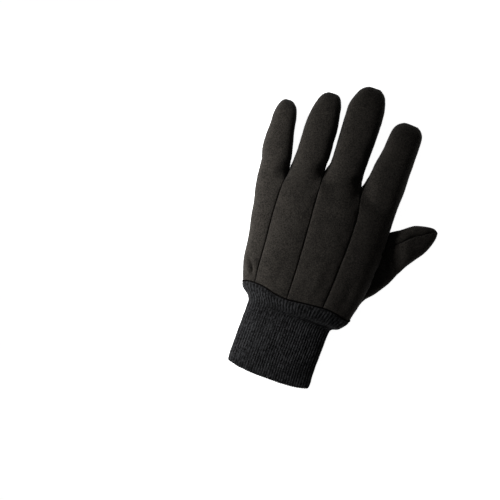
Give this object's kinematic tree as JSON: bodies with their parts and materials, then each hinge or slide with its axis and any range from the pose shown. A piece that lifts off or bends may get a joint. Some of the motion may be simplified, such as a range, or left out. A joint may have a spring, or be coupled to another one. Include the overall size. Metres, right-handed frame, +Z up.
{
  "type": "cotton work glove",
  "caption": "Left-hand jersey work glove with a seamed back, a wrap-round thumb piece and a ribbed knit wrist, lying palm down, hollow and open at the wrist",
  "frame": {"origin": "middle of the flat of the palm, where the glove rests on a surface", "axes": "+Z up, away from the surface; +Y from the wrist to the fingertips; +X towards the thumb"},
  "size_m": [0.1672, 0.2657, 0.023],
  "materials": {
    "brown_jersey": "brushed dark brown cotton jersey with a short heathered nap",
    "rib_knit": "charcoal fine rib knit, ribs running lengthwise"
  },
  "bodies": {
    "root": {"palm_panel": "brown_jersey", "middle_back": "brown_jersey", "ring_back": "brown_jersey", "thumb_panel": "brown_jersey", "thumb_gusset": "brown_jersey", "knit_cuff": "rib_knit"}
  },
  "joints": []
}
